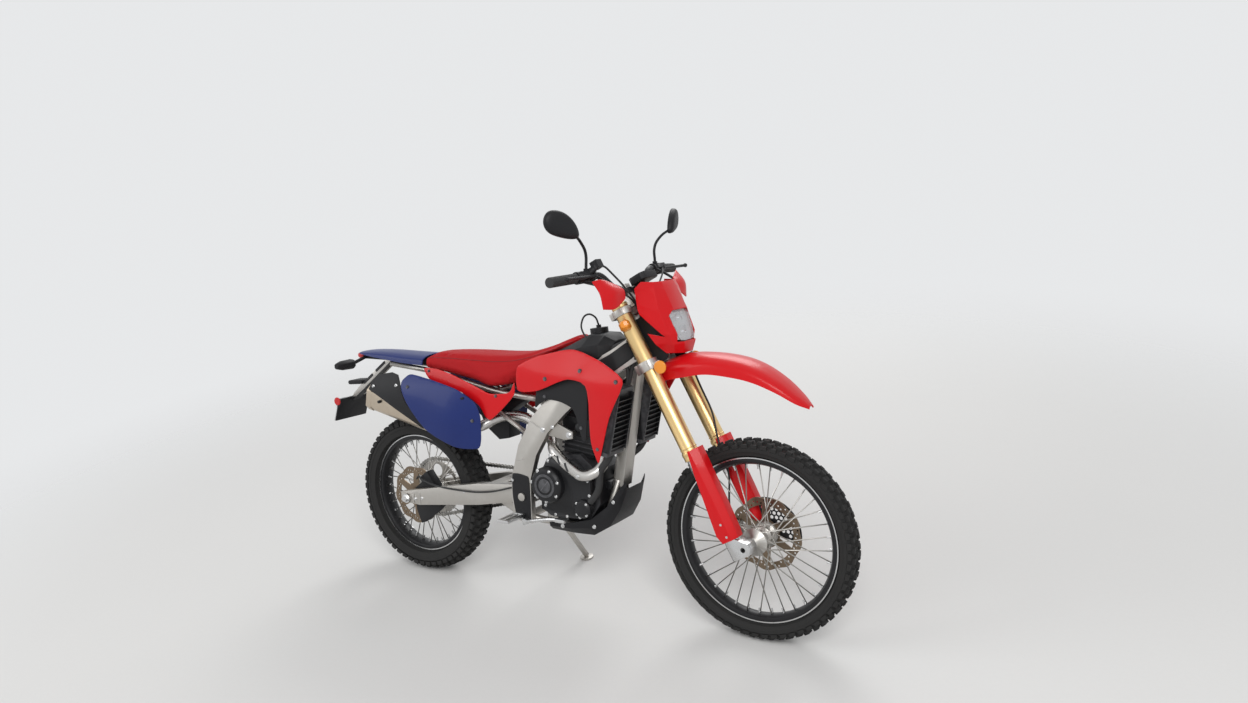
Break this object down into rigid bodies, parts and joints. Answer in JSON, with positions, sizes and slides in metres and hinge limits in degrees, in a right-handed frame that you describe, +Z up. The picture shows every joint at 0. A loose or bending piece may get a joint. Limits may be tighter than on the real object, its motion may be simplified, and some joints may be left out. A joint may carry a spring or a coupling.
{
  "type": "dual sport motorcycle",
  "caption": "Dual sport motorcycle with knobby tyres, wire wheels, a high front fender and a high exhaust, parked on its side stand.",
  "frame": {"origin": "the bounding box's bottom centre, on the ground that the tyres and the side stand's foot rest on", "axes": "+X forwards along the bike, from the rear wheel to the front wheel; +Y to the rider's left, the side it leans to; +Z up"},
  "size_m": [2.279, 0.865, 1.5093],
  "materials": {
    "red_plastic": "satin",
    "blue_plastic": "satin",
    "black_plastic": "matte",
    "black_paint": "satin",
    "bare_aluminium": "satin",
    "gold_anodised": "satin",
    "bright_steel": "satin",
    "exhaust_metal": "satin",
    "tyre_rubber": "matte",
    "rubber": "matte",
    "seat_cover": "matte",
    "clear_lens": "glossy",
    "red_lens": "glossy",
    "amber_lens": "glossy",
    "plate_metal": "satin"
  },
  "bodies": {
    "chassis": {"chain": "bright_steel", "frame": "bare_aluminium", "subframe": "bare_aluminium", "swingarm": "bare_aluminium", "shock": "bright_steel", "crankcase": "black_paint", "cylinder": "black_paint", "engine_covers": "black_paint", "exhaust_header": "exhaust_metal", "muffler": "exhaust_metal", "muffler_guard": "black_plastic", "radiators": "black_paint", "fuel_tank": "black_plastic", "seat": "seat_cover", "radiator_shrouds": "red_plastic", "side_covers": "blue_plastic", "tail_strips": "red_plastic", "rear_fender": "blue_plastic", "airbox": "black_plastic", "skid_plate": "black_plastic", "plate_bracket": "black_plastic", "number_plate": "plate_metal", "tail_light": "red_lens", "rear_indicators": "black_plastic", "foot_controls": "bright_steel", "rear_brake": "black_plastic", "frame_covers": "black_plastic"},
    "steering": {"triple_clamps": "bare_aluminium", "fork_outer_tubes": "gold_anodised", "fork_lowers": "bright_steel", "fork_guards": "red_plastic", "disc_guard": "black_plastic", "front_fender": "red_plastic", "headlight_shell": "red_plastic", "headlight_lens": "clear_lens", "handlebar": "black_paint", "grips": "rubber", "bar_controls": "black_plastic", "hand_guards": "red_plastic", "mirrors": "black_plastic", "instrument": "black_plastic", "front_indicators": "amber_lens", "front_brake": "bare_aluminium", "brake_hose": "rubber"},
    "front_wheel": {"front_tyre": "tyre_rubber", "front_rim": "black_paint", "front_hub": "bare_aluminium", "front_disc": "bright_steel"},
    "rear_wheel": {"rear_tyre": "tyre_rubber", "rear_rim": "black_paint", "rear_hub": "bare_aluminium", "rear_disc": "bright_steel", "rear_sprocket": "bare_aluminium"},
    "side_stand": {"side_stand": "bare_aluminium"}
  },
  "joints": [
    {"name": "steer", "type": "hinge", "parent": "chassis", "child": "steering", "pos_m": [0.39346, -0.07453, 0.95166], "axis": [-0.4772, 0.1602, 0.8641], "range_deg": [-42, 42]},
    {"name": "front_wheel_spin", "type": "hinge", "parent": "steering", "child": "front_wheel", "pos_m": [0.79251, -0.18746, 0.34234], "axis": [0, 0.9833, -0.1822], "continuous": true},
    {"name": "rear_wheel_spin", "type": "hinge", "parent": "chassis", "child": "rear_wheel", "pos_m": [-0.70749, -0.19147, 0.32071], "axis": [0, 0.9833, -0.1822], "continuous": true},
    {"name": "side_stand_swing", "type": "hinge", "parent": "chassis", "child": "side_stand", "pos_m": [-0.15149, -0.06223, 0.23879], "axis": [0.1157, 0.9283, 0.3533], "range_deg": [0, 101.2]}
  ]
}
